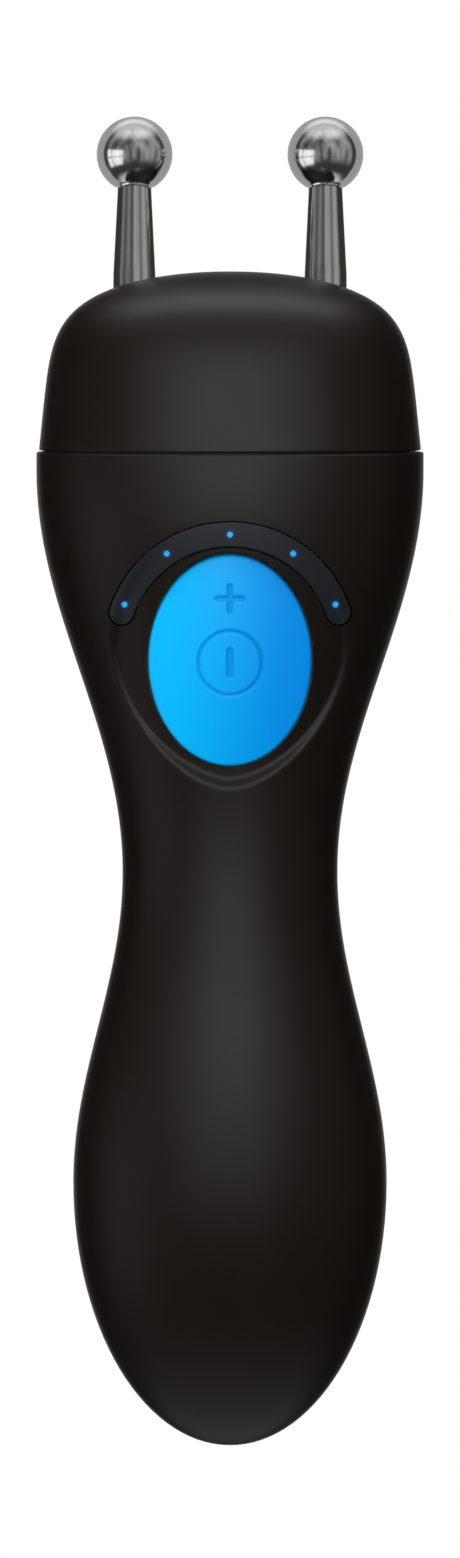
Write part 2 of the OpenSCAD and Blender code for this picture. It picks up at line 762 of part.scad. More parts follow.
// Turned stem: threaded stud, sealed shank, taper, collar and spigot
module probe_stem(s) {
    top = ball_at - seat_drop;
    base = stem_base_d / 2;
    stud = stud_d / 2;
    low = -boss_low - stud_l;
    on_probe(s) rotate_extrude($fn = 64) polygon([
        [0, low], [stud - 0.3, low], [stud, low + 0.3], [stud, -shoulder], [base, -shoulder],
        [base, groove_up - groove_w], [base - groove_t, groove_up - groove_w],
        [base - groove_t, groove_up], [base, groove_up], [base, 1.5],
        [stem_top_d / 2, top], [stud, top], [stud, ball_at + spigot_up], [0, ball_at + spigot_up]]);
}
module probe_stem_left() { color(chrome) probe_stem(-1); }
module probe_stem_right() { color(chrome) probe_stem(1); }

// Soft rings in the stems' grooves
module probe_seals() {
    color(black) for (s = [-1, 1]) on_probe(s)
        translate([0, 0, groove_up - groove_w / 2]) rotate_extrude($fn = 48)
            translate([(stem_base_d - groove_t) / 2 + 0.02, 0]) circle(d = groove_t, $fn = 24);
}

// Eyelets under the bosses, which join the leads to the studs
module ring_terminals() {
    color([0.8, 0.7, 0.4]) for (s = [-1, 1]) on_probe(s) translate([0, 0, -boss_low - 0.5])
        difference() {
            union() {
                cylinder(d = terminal_d, h = terminal_t, $fn = 40);
                translate([-tag_w / 2, -tag_l, 0]) cube([tag_w, tag_l, terminal_t]);
            }
            translate([0, 0, -1]) cylinder(d = stud_d + 0.2, h = 3, $fn = 40);
        }
}

module probe_nuts() {
    color(chrome) for (s = [-1, 1]) on_probe(s) translate([0, 0, -boss_low - 0.55 - nut_h]) difference() {
        cylinder(d = nut_w, h = nut_h, $fn = 6);
        translate([0, 0, -1]) cylinder(d = stud_d + 0.04, h = 4, $fn = 40);
    }
}

// Leads from the eyelets down to the board's upper end
module probe_leads() {
    drop = boss_low + 1.2;
    reach_out = tag_l - 0.2;
    for (s = [-1, 1]) color(s > 0 ? [0.7, 0.1, 0.1] : black)
        bar_along(curve(
            [s * probe_x, probe_y - reach_out * cos(probe_lean) - drop * sin(probe_lean),
             probe_z + reach_out * sin(probe_lean) - drop * cos(probe_lean)], [0, -3, -6],
            [s * 5.6, board_back + 0.7, board_high - 5], [0, 0, -6], 12), wire_r, 8);
}

front_shell();
rear_shell();
head_cap();
seam_gasket();
battery_cover();
button_cap();
switch_plunger();
switch_body();
indicator_window();
light_guides();
leds();
circuit_board();
board_screws();
controller_chip();
transformer();
capacitors();
buzzer();
battery_tray();
cell_left();
cell_right();
battery_springs();
contact_plates();
battery_leads();
probe_ball_left();
probe_ball_right();
probe_stem_left();
probe_stem_right();
probe_seals();
ring_terminals();
probe_nuts();
probe_leads();
shell_screws();
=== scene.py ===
"""Facial toning device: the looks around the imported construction.

Lengths are millimetres in the formulas and metres in the meshes. +Z runs up the body to the
probes, the controls face -Y, and the origin is the centre of the waist.
"""
import json
import math

import bmesh
import bpy
import numpy as np
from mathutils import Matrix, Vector


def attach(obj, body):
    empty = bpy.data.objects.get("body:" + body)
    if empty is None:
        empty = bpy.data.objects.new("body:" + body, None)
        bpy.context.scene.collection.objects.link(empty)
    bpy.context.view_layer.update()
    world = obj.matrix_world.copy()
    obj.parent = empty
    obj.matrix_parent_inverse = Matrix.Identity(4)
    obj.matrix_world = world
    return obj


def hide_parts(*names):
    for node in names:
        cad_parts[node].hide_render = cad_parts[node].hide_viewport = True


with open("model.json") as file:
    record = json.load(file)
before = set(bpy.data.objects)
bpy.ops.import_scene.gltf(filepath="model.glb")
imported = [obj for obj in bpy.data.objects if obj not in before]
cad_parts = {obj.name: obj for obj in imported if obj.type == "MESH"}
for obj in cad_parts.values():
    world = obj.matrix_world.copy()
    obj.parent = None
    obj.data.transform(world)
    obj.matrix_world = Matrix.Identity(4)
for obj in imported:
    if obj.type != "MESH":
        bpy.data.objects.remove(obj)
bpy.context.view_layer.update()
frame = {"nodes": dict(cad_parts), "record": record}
MM = 0.001

# ---------------------------------------------------------------- driving dimensions
TAIL_H, GRIP_H, NECK_H, BAND_H, CAP_H = 34.0, 40.0, 52.0, 2.2, 23.4
HALF_W = (20.2, 13.85, 25.0)          # grip, waist, head
HALF_D = (15.5, 12.0, 19.5)
FULLNESS, BACK_LEAN, LEAN_BELOW = 2.5, 7.4, 22.0
WALL, CAP_STEP, CAP_DRAFT, CROWN_POWER = 2.0, 0.3, 0.1, 6.0
SEAM_GAP, SEAM_DROP, SEAM_FADE = 0.25, 0.8, 14.0
Z_WIDE, Z_SEAM = -GRIP_H, NECK_H + BAND_H
Z_TOP = Z_SEAM + CAP_H

BUTTON_Z, BUTTON_W, BUTTON_H, BUTTON_GAP = 27.2, 20.9, 27.2, 0.25
ARC_Z, ARC_R, ARC_W, ARC_START = BUTTON_Z + 1.3, 14.7, 3.5, 19.0
LIGHTS, LIGHT_STEP, LIGHT_D = 5, 33.4, 0.74
DISH_Z, DISH_W, DISH_H, DISH_DEPTH, DISH_POWER = BUTTON_Z + 2, 31.4, 37.6, 0.8, 1.7
DISH_EDGE = 0.1                       # width of the dish's edge as a share of its half size
COVER_TOP, COVER_Y, COVER_GAP = -16.0, 3.5, 0.1
HOOK_X, HOOK_LOW, HOOK_HIGH = (11.65, 12.4, 13.2), -50.0, -29.5
SCREWS = ((6.6, -6.0), (15.5, 44.0))  # x and level of the right screw of each pair
POST_D, SCREW_D, SCREW_HEAD_D = 5.4, 2.0, 3.8
SCREW_SEAT, SCREW_ROOM = 0.55, 0.5    # seat as a share of the depth, and room added to diameters
POST_ROOT, POST_GAP = 0.7, 0.1        # how far a post stops inside the skin, and off the centre

SEAM_EDGE, CAP_EDGE = 0.22, 0.2       # rounding of the casing's rim and of the cap's
SHARP_ANGLE = 40.0                    # degrees past which a mesh edge stays crisp
FAR = 60.0                            # a depth behind the whole object, for cutters

BALL_D, BALL_APART, BALL_UP = 10.0, 24.8, 15.5
STEM_TOP_D, STEM_BASE_D, PROBE_LEAN, PROBE_BACK = 4.4, 5.5, 16.0, 4.0
BALL_FILLET, STEM_BREAK, STEM_GAP = 0.5, 0.12, 0.02   # fillet, broken edge, gap under the ball
# Heights on the probe's axis, from the crown: end of the taper, shoulder, and end of the stud
STEM_PARALLEL, STEM_SHOULDER, STUD_END = 1.5, -5.0, -11.2
STUD_D, STUD_BREAK = 3.0, 0.3


# ---------------------------------------------------------------- the outline in formulas
def ease(t):
    """Half a cosine wave from 0 to 1, held level beyond both ends."""
    return (1 - np.cos(np.pi * np.clip(t, 0, 1))) / 2


def reach(z, half, inset):
    """Half size at level z: a quarter ellipse up the tail, half waves from grip to waist and
    waist to head, and a squared-off dome for the cap, all moved inwards by inset."""
    grip, waist, head = half
    tail_part = (Z_WIDE - z) / (TAIL_H - inset)
    cap_part = (z - Z_SEAM) / (CAP_H - inset)
    tail = (grip - inset) * np.sqrt(np.clip(1 - tail_part ** 2, 0, 1))
    lower = grip + (waist - grip) * ease((z - Z_WIDE) / GRIP_H) - inset
    upper = waist + (head - waist) * ease(z / NECK_H) - inset
    dome = np.sqrt(np.clip(1 - np.clip(cap_part, 0, 1) ** CROWN_POWER, 0, 1))
    cap = (head - CAP_STEP - CAP_DRAFT * (z - Z_SEAM) - inset) * dome
    return np.select([z <= Z_WIDE, z <= 0, z <= Z_SEAM], [tail, lower, upper], cap)


def centre(z):
    """Depth of the centre line: a parabola that leans back towards both ends."""
    return BACK_LEAN * ((z + LEAN_BELOW) / (Z_TOP + LEAN_BELOW)) ** 2


def dish_share(x, z):
    """Distance from the dish's centre as a share of its own outline, a full-bodied diamond."""
    return (np.abs(2 * x / DISH_W) ** DISH_POWER
            + np.abs(2 * (z - DISH_Z) / DISH_H) ** DISH_POWER) ** (1 / DISH_POWER)


def dish(x, z):
    """Depth of the dish: sunk inside its outline with a soft edge, fading out upwards."""
    lower = 1 - ease((z - DISH_Z) / (DISH_H / 2))
    return DISH_DEPTH * (1 - ease((dish_share(x, z) - 1 + DISH_EDGE) / DISH_EDGE)) * lower


def rounded(d, radius):
    """Drop of an edge rounded to radius, at distance d from it."""
    return radius - np.sqrt(np.clip(radius ** 2 - np.clip(radius - d, 0, radius) ** 2, 0, None))


def front_y(x, z, inset):
    """Depth of the front wall at x and z, moved inwards by inset."""
    a, d = reach(z, HALF_W, inset), reach(z, HALF_D, inset)
    return centre(z) + dish(x, z) - d * (
        1 - np.clip(np.abs(x) / a, 0, 1) ** FULLNESS) ** (1 / FULLNESS)


def back_y(x, z, inset):
    """Depth of the back wall at x and z, moved inwards by inset."""
    a, d = reach(z, HALF_W, inset), reach(z, HALF_D, inset)
    return centre(z) + d * (1 - (abs(x) / a) ** FULLNESS) ** (1 / FULLNESS)


def wall_points(z, turn, inset):
    """Points of the wall: at each level a superellipse given by its polar angle, bent back by
    the centre line, dished in front, and sheared near the seam so that the seam drops there."""
    a, d = reach(z, HALF_W, inset), reach(z, HALF_D, inset)
    c, s = np.cos(turn), np.sin(turn)
    tiny = 1e-9
    size = (np.abs(c / np.maximum(a, tiny)) ** FULLNESS
            + np.abs(s / np.maximum(d, tiny)) ** FULLNESS) ** (-1 / FULLNESS)
    x, dy = size * c, size * s
    facing = np.clip(-dy / 4, 0, 1)
    y = centre(z) + dy + facing * dish(x, z)
    near_seam = np.clip(1 - np.abs(z - Z_SEAM) / SEAM_FADE, 0, 1)
    return np.stack([x, y, z + SEAM_DROP * near_seam * dy / HALF_D[2]], -1)


# ---------------------------------------------------------------- mesh making
def new_piece(name, points, faces, material, body, merge=True):
    """A mesh object from points in millimetres, merged at poles and seams, riding on a body."""
    mesh = bpy.data.meshes.new(name)
    mesh.from_pydata((np.asarray(points) * MM).tolist(), [], faces)
    work = bmesh.new()
    work.from_mesh(mesh)
    if merge:
        bmesh.ops.remove_doubles(work, verts=work.verts, dist=2e-8)
        bmesh.ops.dissolve_degenerate(work, edges=work.edges, dist=1e-8)
    work.to_mesh(mesh)
    work.free()
    piece = bpy.data.objects.new(name, mesh)
    bpy.context.scene.collection.objects.link(piece)
    finish_mesh(piece)
    if material:
        mesh.materials.append(material)
        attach(piece, body)
    return piece


def finish_mesh(piece):
    """Smooth shading, kept crisp on edges sharper than SHARP_ANGLE."""
    piece.data.polygons.foreach_set("use_smooth", np.ones(len(piece.data.polygons), bool))
    piece.data.set_sharp_from_angle(angle=math.radians(SHARP_ANGLE))


def outward(piece):
    """Turns every face of a closed piece outwards."""
    work = bmesh.new()
    work.from_mesh(piece.data)
    bmesh.ops.recalc_face_normals(work, faces=work.faces)
    work.to_mesh(piece.data)
    work.free()
    finish_mesh(piece)


def grid_faces(rows, cols, ring, start=0, flip=False):
    """Quads over a grid of points, closed on itself when ring is set."""
    i, j = np.meshgrid(np.arange(rows - 1), np.arange(cols if ring else cols - 1), indexing="ij")
    k = (j + 1) % cols
    quads = np.stack([i * cols + j, i * cols + k, (i + 1) * cols + k, (i + 1) * cols + j], -1)
    quads = quads.reshape(-1, 4) + start
    return (quads[:, ::-1] if flip else quads).tolist()


def shell_faces(rows, cols, ring, pole):
    """Faces of a wall: outer grid, inner grid turned round, and rims along its open edges."""
    side = rows * cols
    last = (rows - 1) * cols
    faces = grid_faces(rows, cols, ring) + grid_faces(rows, cols, ring, side, True)
    for j in range(cols if ring else cols - 1):
        k = (j + 1) % cols
        faces.append([last + j, last + k, side + last + k, side + last + j])
        if not pole:
            faces.append([side + j, side + k, k, j])
    if not ring:
        for i in range(rows - 1):
            a, b = i * cols, (i + 1) * cols
            faces.append([a, b, side + b, side + a])
            a, b = a + cols - 1, b + cols - 1
            faces.append([side + a, side + b, b, a])
    return faces


def wall(outer_rows, inner_rows, turns, ring=False, pole=True):
    """Points and faces of a wall. A row is (level, inset); turns are polar angles in degrees."""
    turn = np.radians(np.asarray(turns, float))[None, :]
    points = []
    for rows in (outer_rows, inner_rows):
        rows = np.asarray(rows, float)
        z = np.repeat(rows[:, :1], turn.shape[1], 1)
        inset = np.repeat(rows[:, 1:], turn.shape[1], 1)
        grid = wall_points(z, np.repeat(turn, len(rows), 0), inset)
        if pole:
            grid[0] = [0, float(centre(np.float64(rows[0, 0]))), rows[0, 0]]
        points.append(grid.reshape(-1, 3))
    return np.concatenate(points), shell_faces(len(outer_rows), turn.shape[1], ring, pole)


def prism(name, outline, near, far):
    """A closed prism along Y over an outline of (x, z) points given anticlockwise from the front."""
    n = len(outline)
    outline = np.asarray(outline, float)
    points = np.concatenate([np.insert(outline, 1, y, 1) for y in (near, far)])
    faces = [list(range(n)), list(range(2 * n - 1, n - 1, -1))]
    faces += [[(k + 1) % n, k, n + k, n + (k + 1) % n] for k in range(n)]
    return new_piece(name, points, faces, None, None)


def round_outline(x, z, d, n=48):
    """A circle of diameter d round x and z."""
    t = np.linspace(0, 2 * np.pi, n, endpoint=False)
    return np.stack([x + d / 2 * np.cos(t), z + d / 2 * np.sin(t)], -1)


def oval_outline(out, n=256):
    """The button's oval, out millimetres larger all round."""
    t = np.linspace(0, 2 * np.pi, n, endpoint=False)
    x, z = (BUTTON_W / 2 + out) * np.cos(t), BUTTON_Z + (BUTTON_H / 2 + out) * np.sin(t)
    return np.stack([x, z], -1)


def arc_outline(out, n=120):
    """The slot of the lights: two arcs joined by round ends, out millimetres larger all round."""
    a, b, r = math.radians(ARC_START), math.radians(180 - ARC_START), ARC_W / 2 + out

    def around(turn, radius, angle):
        middle = np.stack([ARC_R * np.cos(turn), ARC_R * np.sin(turn)], -1)
        return middle + radius * np.stack([np.cos(angle), np.sin(angle)], -1)

    along = np.linspace(a, b, n)
    cap = np.linspace(0, np.pi, 24)[1:-1]
    parts = [around(along, r, along), around(np.full(len(cap), b), r, b + cap),
             around(along[::-1], -r, along[::-1]), around(np.full(len(cap), a), r, a + np.pi + cap)]
    return np.concatenate(parts) + [0, ARC_Z]


def carve(piece, cutter, operation):
    """Cuts the cutter out of the piece, joins it on or keeps what they share, and removes it."""
    modifier = piece.modifiers.new("carve", "BOOLEAN")
    modifier.operation, modifier.solver, modifier.object = operation, "MANIFOLD", cutter
    bpy.context.view_layer.update()
    graph = bpy.context.evaluated_depsgraph_get()
    carved = bpy.data.meshes.new_from_object(piece.evaluated_get(graph))
    piece.modifiers.clear()
    old, name = piece.data, piece.data.name
    piece.data = carved
    bpy.data.meshes.remove(old)
    bpy.data.objects.remove(cutter)
    carved.name = name
    finish_mesh(piece)


def revolve(profile, place, segments=128):
    """A profile of (radius, height) turned round an axis; place maps local points to the frame."""
    profile = np.asarray(profile, float)
    t = np.linspace(0, 2 * np.pi, segments, endpoint=False)[None, :]
    r, h = profile[:, :1], profile[:, 1:]
    grid = np.stack([r * np.cos(t), r * np.sin(t), h + 0 * t], -1)
    return place(grid.reshape(-1, 3)), grid_faces(len(profile), segments, True)


# ---------------------------------------------------------------- shader tools
class Value:
    """A number on its way through a shader; arithmetic on it adds Math nodes."""

    def __init__(self, paint, socket):
        self.paint, self.socket = paint, socket

    def op(self, operation, *others):
        return self.paint.math(operation, self, *others)

    def __add__(self, other):
        return self.op("ADD", other)

    def __radd__(self, other):
        return self.op("ADD", other)

    def __sub__(self, other):
        return self.op("SUBTRACT", other)

    def __rsub__(self, other):
        return self.paint.math("SUBTRACT", other, self)

    def __mul__(self, other):
        return self.op("MULTIPLY", other)

    def __rmul__(self, other):
        return self.op("MULTIPLY", other)

    def step(self, low, high):
        """0 below low, 1 above high, and smooth between; reversed when low is above high."""
        return self.paint.node("ShaderNodeMapRange", {"interpolation_type": "SMOOTHSTEP"},
                               {"Value": self, "From Min": low, "From Max": high}).out("Result")


class Made:
    """A finished node, whose outputs are taken by name."""

    def __init__(self, paint, node):
        self.paint, self.node = paint, node

    def out(self, name):
        return Value(self.paint, self.node.outputs[name])


class Nodes:
    """A node tree under construction, and the coordinates it works in."""

    def __init__(self, tree, coordinates):
        self.tree = tree
        self.place = self.node("ShaderNodeTexCoord", {}, {}).out(coordinates)

    def node(self, kind, settings, sockets):
        """Any node: its type, then its settings, then the values or links of its sockets."""
        made = self.tree.nodes.new(kind)
        for key, value in settings.items():
            setattr(made, key, value)
        for key, value in sockets.items():
            self.feed(made.inputs[key], value)
        return Made(self, made)

    def feed(self, socket, value):
        """Gives a socket its value or its link."""
        if isinstance(value, Value):
            self.tree.links.new(value.socket, socket)
        else:
            socket.default_value = value

    def math(self, operation, *values):
        """A Math node on values and numbers."""
        made = self.node("ShaderNodeMath", {"operation": operation}, dict(enumerate(values)))
        return made.out("Value")

    def axes(self):
        """The coordinates as three numbers."""
        split = self.node("ShaderNodeSeparateXYZ", {}, {0: self.place})
        return [split.out(axis) for axis in "XYZ"]


class Paint(Nodes):
    """A material under construction, with one Principled shader, patterned in millimetres."""

    def __init__(self, name, **constants):
        self.material = bpy.data.materials.new(name)
        self.material.use_nodes = True
        super().__init__(self.material.node_tree, "Object")
        self.shader = self.tree.nodes["Principled BSDF"]
        for socket, value in constants.items():
            self.shader.inputs[socket.replace("_", " ")].default_value = value

    def axes(self):
        """The coordinates in millimetres."""
        return [axis * 1000 for axis in super().axes()]

    def noise(self, size, detail=2.0, rough=0.5):
        """Noise with features about size millimetres across."""
        return self.node("ShaderNodeTexNoise", {}, {"Vector": self.place, "Scale": 1000 / size,
                         "Detail": detail, "Roughness": rough}).out("Fac")

    def mix(self, share, a, b):
        """A colour between a and b."""
        made = self.node("ShaderNodeMix", {"data_type": "RGBA"}, {0: share, 6: a, 7: b})
        return Value(self, made.node.outputs[2])

    def bump(self, height, strength, distance):
        """Relief in the surface's normal, distance millimetres high."""
        self.feed(self.shader.inputs["Normal"], self.node("ShaderNodeBump", {},
                  {"Height": height, "Strength": strength, "Distance": distance * MM}).out("Normal"))

    def set(self, **sockets):
        """Feeds the shader's sockets and gives back the finished material."""
        for socket, value in sockets.items():
            self.feed(self.shader.inputs[socket.replace("_", " ")], value)
        return self.material


def soft_black():
    """Soft-touch black: a fine moulded grain and a faint cloudiness in colour and gloss."""
    p = Paint("soft_black", IOR=1.24)
    cloud, grain = p.noise(9, 3), p.noise(0.22, 2)
    p.bump(grain, 0.18, 0.05)
    return p.set(Base_Color=p.mix(cloud, (0.0048, 0.0029, 0.0016, 1), (0.0062, 0.0042, 0.0029, 1)),
                 Roughness=0.37 + cloud * 0.08 + grain * 0.03)


def blue_button():
    """Satin blue, with painted light that makes it paler to the left and darker to the right, painted shade
    in the sunk signs, and a very fine grain.
    """
    p = Paint("blue_button", Specular_IOR_Level=0.1)
    # Painted light: the face colour runs from pale on the left to darker on the right, as a lamp from the
    # left would light it.
    across = p.axes()[0].step(-BUTTON_W / 2, BUTTON_W / 2)
    sunk = p.node("ShaderNodeAttribute", {"attribute_name": "sunk"}, {}).out("Fac")
    face = p.mix(across, (0.0, 0.47, 0.95, 1), (0.0, 0.24, 0.74, 1))
    p.bump(p.noise(0.2), 0.06, 0.04)
    # Painted shade: the sunk signs are darkened by their depth, where shade would fall in the grooves.
    return p.set(Base_Color=p.mix(sunk * 0.4, face, (0.0, 0.13, 0.45, 1)),
                 Roughness=0.36 + p.noise(6) * 0.06)


def smoked_window():
    """Smoked strip over the lights: nearly black, with a lit point and its halo at each light."""
    p = Paint("smoked_window", IOR=1.26)
    x, _, z = p.axes()
    nearest = None
    for i in range(LIGHTS):
        turn = math.radians((i - (LIGHTS - 1) / 2) * LIGHT_STEP)
        dx, dz = x - ARC_R * math.sin(turn), z - (ARC_Z + ARC_R * math.cos(turn))
        d = (dx * dx + dz * dz).op("SQRT")
        nearest = d if nearest is None else nearest.op("MINIMUM", d)
    point = nearest.step(LIGHT_D / 2 + 0.08, LIGHT_D / 2 - 0.1)
    halo = nearest.step(LIGHT_D * 1.15, LIGHT_D / 2)
    glow = p.mix(halo * 0.3, (0, 0, 0, 1), (0.0, 0.05, 0.2, 1))
    p.bump(p.noise(0.18), 0.08, 0.03)
    p.shader.inputs["Emission Strength"].default_value = 1.0
    smoke = p.mix(p.noise(3, 3), (0.009, 0.0098, 0.0125, 1), (0.012, 0.013, 0.0165, 1))
    return p.set(Base_Color=smoke, Roughness=0.42 + p.noise(4) * 0.06,
                 Emission_Color=p.mix(point, glow, (0.02, 0.40, 0.85, 1)))


def probe_chrome():
    """Polished plating, with the faint turning marks and haze of handled metal."""
    p = Paint("probe_chrome", Metallic=1.0)
    haze = p.noise(2.5, 4, 0.6)
    p.bump(p.noise(0.5, 3), 0.02, 0.05)
    return p.set(Base_Color=p.mix(haze, (0.54, 0.54, 0.52, 1), (0.64, 0.64, 0.62, 1)),
                 Roughness=0.09 + haze * 0.1)


def plain(name, dark, light, roughness, grain=0.3, metallic=0.0, bump=0.1):
    """A moulded or plated finish between two tones, with grain of the given size."""
    p = Paint(name, Metallic=metallic)
    tone, fine = p.noise(grain * 12, 3), p.noise(grain)
    p.bump(fine, bump, 0.05)
    return p.set(Base_Color=p.mix(tone, dark + (1,), light + (1,)), Roughness=roughness + fine * 0.08)


SOFT_BLACK, BLUE, SMOKED, CHROME = soft_black(), blue_button(), smoked_window(), probe_chrome()
FINISHES = {
    "seal_rubber": plain("seal_rubber", (0.008, 0.007, 0.006), (0.014, 0.012, 0.011), 0.6),
    "ivory_plastic": plain("ivory_plastic", (0.62, 0.55, 0.4), (0.7, 0.64, 0.5), 0.4),
    "dark_plastic": plain("dark_plastic", (0.02, 0.02, 0.022), (0.035, 0.035, 0.04), 0.45),
    "clear_guide": plain("clear_guide", (0.7, 0.78, 0.85), (0.8, 0.88, 0.95), 0.12),
    "led_white": plain("led_white", (0.8, 0.83, 0.8), (0.9, 0.92, 0.88), 0.3),
    "board_green": plain("board_green", (0.01, 0.09, 0.035), (0.02, 0.14, 0.06), 0.3, 0.5),
    "wound_copper": plain("wound_copper", (0.4, 0.13, 0.04), (0.55, 0.22, 0.08), 0.35, 0.25, 0.6, 0.5),
    "capacitor_sleeve": plain("capacitor_sleeve", (0.015, 0.03, 0.14), (0.025, 0.05, 0.2), 0.3),
    "cell_jacket": plain("cell_jacket", (0.34, 0.35, 0.37), (0.42, 0.43, 0.45), 0.3, 0.4, 0.7),
    "plated_steel": plain("plated_steel", (0.5, 0.49, 0.47), (0.62, 0.61, 0.59), 0.22, 0.3, 1.0),
    "lead_jacket": plain("lead_jacket", (0.35, 0.015, 0.015), (0.45, 0.03, 0.03), 0.45),
    "terminal_brass": plain("terminal_brass", (0.5, 0.36, 0.14), (0.6, 0.45, 0.2), 0.25, 0.3, 1.0),
    "soft_black": SOFT_BLACK, "blue_button": BLUE, "smoked_window": SMOKED, "probe_chrome": CHROME,
}
for part in frame["record"]["subparts"]:
    node = frame["nodes"][part["node"]]
    node.data.materials.clear()
    node.data.materials.append(FINISHES[part["material_slot"]])


# ---------------------------------------------------------------- the casing
def tail_rows(n, inset):
    """Levels up the rounded tail, evenly turned along its quarter ellipse."""
    return [(Z_WIDE - (TAIL_H - inset) * math.cos(math.pi / 2 * k / n), inset) for k in range(n + 1)]


def level_rows(stops, inset):
    """Levels between stops, given as (level, rows up to it)."""
    rows, low = [], stops[0][0]
    for high, n in stops[1:]:
        rows += [(low + (high - low) * k / n, inset) for k in range(1, n + 1)]
        low = high
    return rows


def casing_rows(tail_n, stops, inset, edge):
    """Rows from the tail's tip to the seam, with the seam's edge rounded to edge."""
    rows = tail_rows(tail_n, inset) + level_rows([(Z_WIDE, 0)] + stops, inset)
    return rows + [(Z_SEAM - edge * (1 - math.sin(a)), inset + edge * (1 - math.cos(a)))
                   for a in np.radians([0, 22, 45, 68, 90])]


# Levels and the rows up to each: the front is finest where the dish is
WAIST, DISH_ZONE, RIM_START = 0.0, (9, 49), Z_SEAM - 0.5
FRONT_STOPS = [(WAIST, 36), (DISH_ZONE[0], 9), (DISH_ZONE[1], 124), (RIM_START, 9)]
BACK_STOPS = [(WAIST, 32), (RIM_START, 40)]


FRONT_CUT = (-30, -4)  # depths of a cutter through the front wall alone


def make_front_shell():
    """Front half of the casing with the dish, the button's opening and the slot."""
    outer = casing_rows(30, FRONT_STOPS, 0, SEAM_EDGE)
    inner = casing_rows(30, FRONT_STOPS, WALL, 0)
    side = 25  # degrees of each side, outside the finer face
    turns = np.concatenate([np.linspace(180, 180 + side, 21)[:-1],
                            np.linspace(180 + side, 360 - side, 161),
                            np.linspace(360 - side, 360, 21)[1:]])
    points, faces = wall(outer, inner, turns)
    piece = new_piece("front_casing", points, faces, SOFT_BLACK, "housing")
    for outline in (oval_outline(BUTTON_GAP), arc_outline(0)):
        carve(piece, prism("cut", outline, *FRONT_CUT), "DIFFERENCE")
    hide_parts("front_shell")
    return piece


def back_wall(name):
    """The whole wall of the rear half, before the casing or the door is cut from it."""
    outer = casing_rows(24, BACK_STOPS, 0, SEAM_EDGE)
    inner = casing_rows(24, BACK_STOPS, WALL, 0)
    points, faces = wall(outer, inner, np.linspace(0, 180, 97))
    body = "battery_cover" if name == "battery_door" else "housing"
    return new_piece(name, points, faces, SOFT_BLACK, body)


def door_outline(high):
    """A box wider than the body, from below the tail up to high."""
    side, low = 40, -90
    return [(-side, low), (side, low), (side, high), (-side, high)]


def make_rear_casing():
    """Rear half of the casing, open for the door, with four screw posts and their pockets."""
    shell = back_wall("rear_casing")
    carve(shell, prism("cut", door_outline(COVER_TOP), COVER_Y, FAR), "DIFFERENCE")
    bore, pocket = SCREW_D + SCREW_ROOM, SCREW_HEAD_D + SCREW_ROOM
    for side in (-1, 1):
        for x, z in SCREWS:
            x, middle, half = x * side, float(centre(np.float64(z))), POST_D / 2
            seat = middle + float(reach(np.float64(z), HALF_D, WALL)) * SCREW_SEAT
            skin = min(float(back_y(abs(x) + half, np.float64(z + dz), 0)) for dz in (-half, half))
            post = prism("post", round_outline(x, z, POST_D), middle + POST_GAP, skin - POST_ROOT)
            carve(shell, post, "UNION")
            carve(shell, prism("cut", round_outline(x, z, bore), -2, FAR), "DIFFERENCE")
            carve(shell, prism("cut", round_outline(x, z, pocket), seat, FAR), "DIFFERENCE")
    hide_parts("rear_shell")


TONGUE_ROWS = ((4, 2.25), (-0.4, 2.25), (-1, 1.6), (-3, 1.6))  # above COVER_TOP, and inset
TONGUE_INSET, TONGUE_TURN = 3.25, (127, 53)
HOOK_FOOT, HOOK_T = 4.0, 0.8          # depth of a hook's foot, and its thickness


def make_battery_door():
    """The sliding door: its wall, a tongue under the casing, and a hook for each rail."""
    door = back_wall("battery_door")
    keep = prism("cut", door_outline(COVER_TOP - COVER_GAP), COVER_Y + COVER_GAP, FAR)
    carve(door, keep, "INTERSECT")
    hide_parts("battery_cover")
    outer = [(COVER_TOP + up, inset) for up, inset in TONGUE_ROWS]
    inner = [(z, TONGUE_INSET) for z, _ in outer]
    points, faces = wall(outer, inner, np.linspace(*TONGUE_TURN, 25), pole=False)
    outward(new_piece("door_tongue", points, faces, SOFT_BLACK, "battery_cover"))
    near, bend, far = HOOK_X
    top = float(back_y(far, np.float64(HOOK_HIGH), WALL / 2))
    foot, lip = HOOK_FOOT, HOOK_FOOT + HOOK_T
    outline = [(near, foot), (far, foot), (far, top), (bend, top), (bend, lip), (near, lip)]
    n = len(outline)
    for side, word in ((-1, "left"), (1, "right")):
        points = [(side * x, y, z) for z in (HOOK_LOW, HOOK_HIGH) for x, y in outline]
        faces = [list(range(n)), list(range(n, 2 * n))]
        faces += [[k, (k + 1) % n, n + (k + 1) % n, n + k] for k in range(n)]
        outward(new_piece("door_hook_" + word, points, faces, SOFT_BLACK, "battery_cover"))


def crown_rows(n, inset, edge):
    """Rows from the crown's top down to the seam, with the rim rounded to edge."""
    shares = [max(0.0, math.cos(math.pi / 2 * k / n)) ** (2 / CROWN_POWER) for k in range(n)]
    rows = [(Z_SEAM + (CAP_H - inset) * share, inset) for share in shares]
    low = Z_SEAM + SEAM_GAP
    rows = [row for row in rows if row[0] > low + 0.6]
    start = rows[-1][0]
    rows += [(start + (low + edge - start) * k / 10, inset) for k in range(1, 10)]
    return rows + [(low + edge * (1 - math.sin(a)), inset + edge * (1 - math.cos(a)))
                   for a in np.radians([0, 22, 45, 68, 90])]


